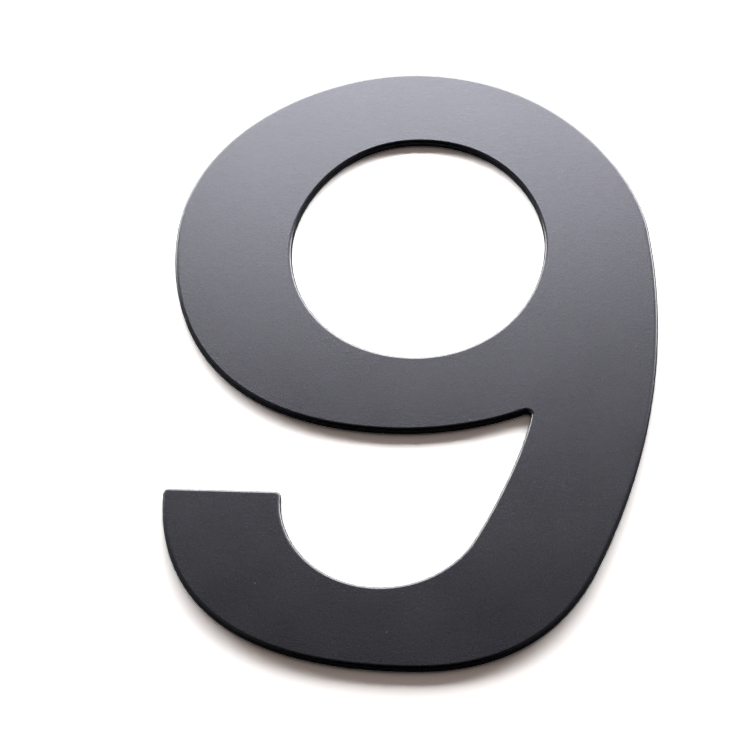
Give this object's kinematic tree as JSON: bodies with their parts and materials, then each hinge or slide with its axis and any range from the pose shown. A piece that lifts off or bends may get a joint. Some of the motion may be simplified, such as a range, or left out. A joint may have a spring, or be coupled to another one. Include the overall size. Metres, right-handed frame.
{
  "type": "house number",
  "caption": "Flat cut-out house number, the figure nine, with rounded coated edges and a plain face, fixed from behind.",
  "frame": {"origin": "under the middle of the figure's outline, on the back face that it lies on", "axes": "+Z out of the front face, +Y towards the top of the figure, +X to the right as the figure is read"},
  "size_m": [0.1384, 0.2, 0.002],
  "materials": {
    "powder_coat": "satin powder coat, black"
  },
  "bodies": {
    "root": {"number_plate": "powder_coat"}
  },
  "joints": []
}
